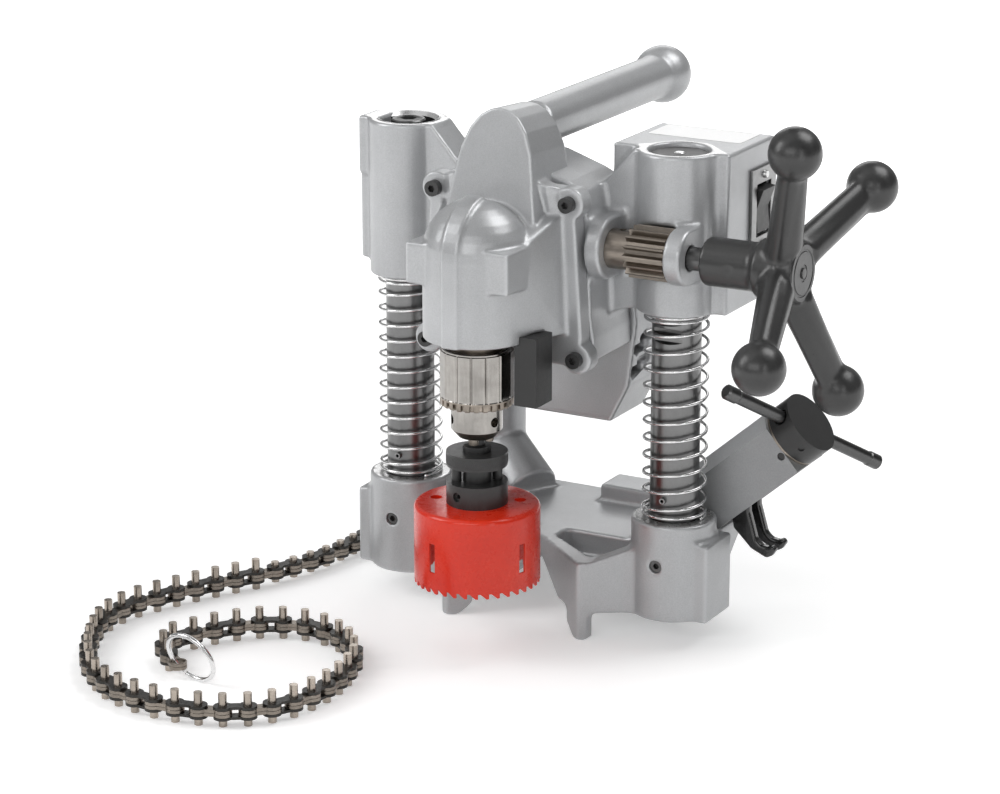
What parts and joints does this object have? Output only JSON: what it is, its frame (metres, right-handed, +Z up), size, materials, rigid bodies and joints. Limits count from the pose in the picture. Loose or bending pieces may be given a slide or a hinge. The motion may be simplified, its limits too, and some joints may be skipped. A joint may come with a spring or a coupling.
{
  "type": "pipe hole cutting machine",
  "caption": "Portable hole cutter for pipe: a motor head with chuck and hole saw slides on twin sprung columns by rack and handle, on a saddle base held to the pipe by a chain vise.",
  "frame": {"origin": "on the floor plane, midway between the two columns", "axes": "+Z up along the columns; +Y towards the motor's rear end; +X towards the feed handle"},
  "size_m": [0.4312, 0.4533, 0.3417],
  "materials": {
    "arm": "grey",
    "black": "black oxide",
    "blackplastic": "moulded",
    "bright": "ground",
    "casting": "blasted",
    "chain": "dark blued steel",
    "chain_pin": "steel",
    "column": "ground dark steel",
    "copper": "copper winding",
    "handle": "semi matte black",
    "laminate": "laminated",
    "pinion": "machined",
    "ringm": "zinc",
    "rubber": "moulded",
    "saw": "gloss orange red",
    "screwm": "zinc",
    "washer": "dull",
    "wire": "bright wire"
  },
  "bodies": {
    "base": {"base_casting": "casting", "left_column": "column", "right_column": "column", "column_roll_pins": "bright", "column_set_screws": "black", "left_stop_screw": "black", "right_stop_cap": "bright", "left_spring": "wire", "right_spring": "wire", "vise_arm": "arm", "arm_fasteners": "black", "thrust_washer": "washer"},
    "carriage": {"carriage_casting": "casting", "front_housing": "casting", "head_cap_screws": "black", "motor_housing": "casting", "motor_end_bell": "blackplastic", "stator": "laminate", "carbon_brushes": "copper", "ball_bearings": "bright", "spindle_seal": "rubber", "chuck_key_holder": "rubber", "switch_plate": "screwm", "switch_body": "blackplastic", "plate_screws": "screwm", "cord_inlet": "rubber"},
    "cutter": {"spindle": "bright", "face_gear": "pinion", "chuck_body": "bright", "arbor": "black", "hole_saw": "saw", "pilot_drill": "bright"},
    "sleeve": {"chuck_sleeve": "bright"},
    "jaw_a": {"chuck_jaw_a": "bright"},
    "jaw_b": {"chuck_jaw_b": "bright"},
    "jaw_c": {"chuck_jaw_c": "bright"},
    "drive": {"drive_ring": "black"},
    "rotor": {"rotor_shaft": "bright", "armature": "copper", "cooling_fan": "blackplastic"},
    "lay": {"layshaft": "bright", "layshaft_gear": "pinion"},
    "feed": {"feed_shaft": "column", "feed_pinion": "pinion", "pinion_pin": "bright", "feed_handle": "handle", "hub_set_screw": "black"},
    "rocker": {"switch_rocker": "blackplastic"},
    "screw": {"vise_screw": "bright", "vise_head": "black"},
    "bar": {"t_bar": "black"},
    "hook": {"vise_hook": "black"},
    "anchor": {"chain_anchor": "chain"},
    "chain_a": {"chain_a_pin_links": "chain_pin", "chain_a_inner_plates": "chain"},
    "chain_b": {"chain_b_pin_links": "chain_pin", "chain_b_inner_plates": "chain"},
    "chain_c": {"chain_c_pin_links": "chain_pin", "chain_c_inner_plates": "chain"},
    "ring": {"chain_ring": "ringm"}
  },
  "joints": [
    {"name": "carriage_slide", "type": "slide", "parent": "base", "child": "carriage", "axis": [0, 0, 1], "range_m": [-0.05, 0], "stiffness_N_per_m": 2600, "springref_m": 0.05, "deforming": ["left_spring", "right_spring"]},
    {"name": "feed_handle_spin", "type": "hinge", "parent": "carriage", "child": "feed", "pos_m": [0.11, -0.0281, 0.248], "axis": [1, 0, 0], "range_deg": [-0.1, 199.1]},
    {"name": "spindle_spin", "type": "hinge", "parent": "carriage", "child": "cutter", "pos_m": [0, -0.08, 0.2], "axis": [0, 0, 1], "continuous": true},
    {"name": "layshaft_spin", "type": "hinge", "parent": "carriage", "child": "lay", "pos_m": [0, 0, 0.231], "axis": [0, 1, 0], "continuous": true},
    {"name": "rotor_spin", "type": "hinge", "parent": "carriage", "child": "rotor", "pos_m": [0, 0, 0.191], "axis": [0, 1, 0], "continuous": true},
    {"name": "chuck_sleeve_turn", "type": "hinge", "parent": "cutter", "child": "sleeve", "pos_m": [0, -0.08, 0.175], "axis": [0, 0, 1], "range_deg": [0, 1900]},
    {"name": "jaw_a_slide", "type": "slide", "parent": "cutter", "child": "jaw_a", "axis": [0.1521, 0.1418, 0.9781], "range_m": [0, 0.008]},
    {"name": "jaw_b_slide", "type": "slide", "parent": "cutter", "child": "jaw_b", "axis": [-0.1988, 0.0608, 0.9781], "range_m": [0, 0.008]},
    {"name": "jaw_c_slide", "type": "slide", "parent": "cutter", "child": "jaw_c", "axis": [0.0468, -0.2026, 0.9781], "range_m": [0, 0.008]},
    {"name": "drive_ring_lift", "type": "slide", "parent": "cutter", "child": "drive", "axis": [0, 0, 1], "range_m": [0, 0.005]},
    {"name": "switch_rock", "type": "hinge", "parent": "carriage", "child": "rocker", "pos_m": [0.126, 0.0435, 0.2646], "axis": [0, 1, 0], "range_deg": [-16, 0]},
    {"name": "vise_screw_turn", "type": "hinge", "parent": "base", "child": "screw", "pos_m": [0.151, 0.04, 0.1256], "axis": [0.7547, 0, 0.6561], "range_deg": [-4680, 0]},
    {"name": "cross_bar_slide", "type": "slide", "parent": "screw", "child": "bar", "axis": [-0.4199, -0.7683, 0.4831], "range_m": [-0.03, 0.03]},
    {"name": "hook_travel", "type": "slide", "parent": "base", "child": "hook", "axis": [0.7547, 0, 0.6561], "range_m": [0, 0.0261]},
    {"name": "chain_swing_anchor", "type": "hinge", "parent": "anchor", "child": "chain_a", "pos_m": [-0.1404, 0.0476, 0.0086], "axis": [0, 0, 1], "range_deg": [-25, 2]},
    {"name": "anchor_swivel", "type": "hinge", "parent": "base", "child": "anchor", "pos_m": [-0.11, 0.0476, 0.0086], "axis": [1, 0, 0], "range_deg": [-15, 0]},
    {"name": "chain_bend_first", "type": "hinge", "parent": "chain_a", "child": "chain_b", "pos_m": [-0.20706, -0.1881, 0.0086], "axis": [0, 0, 1], "range_deg": [-25, 2]},
    {"name": "chain_bend_second", "type": "hinge", "parent": "chain_b", "child": "chain_c", "pos_m": [-0.03655, -0.18153, 0.0086], "axis": [0, 0, 1], "range_deg": [-2, 20]},
    {"name": "ring_swing", "type": "hinge", "parent": "chain_c", "child": "ring", "pos_m": [-0.13309, -0.20645, 0.0086], "axis": [0, 0, 1], "range_deg": [-45, 45]}
  ],
  "couplings": [
    {"joint": "feed_handle_spin", "follows": "carriage_slide", "rad_per_m": -69.444},
    {"joint": "layshaft_spin", "follows": "spindle_spin", "ratio": 3},
    {"joint": "rotor_spin", "follows": "spindle_spin", "ratio": -13.2},
    {"joint": "hook_travel", "follows": "vise_screw_turn", "m_per_rad": -0.00031831},
    {"joint": "jaw_a_slide", "follows": "chuck_sleeve_turn", "m_per_rad": 0.00023873},
    {"joint": "jaw_b_slide", "follows": "chuck_sleeve_turn", "m_per_rad": 0.00023873},
    {"joint": "jaw_c_slide", "follows": "chuck_sleeve_turn", "m_per_rad": 0.00023873}
  ]
}
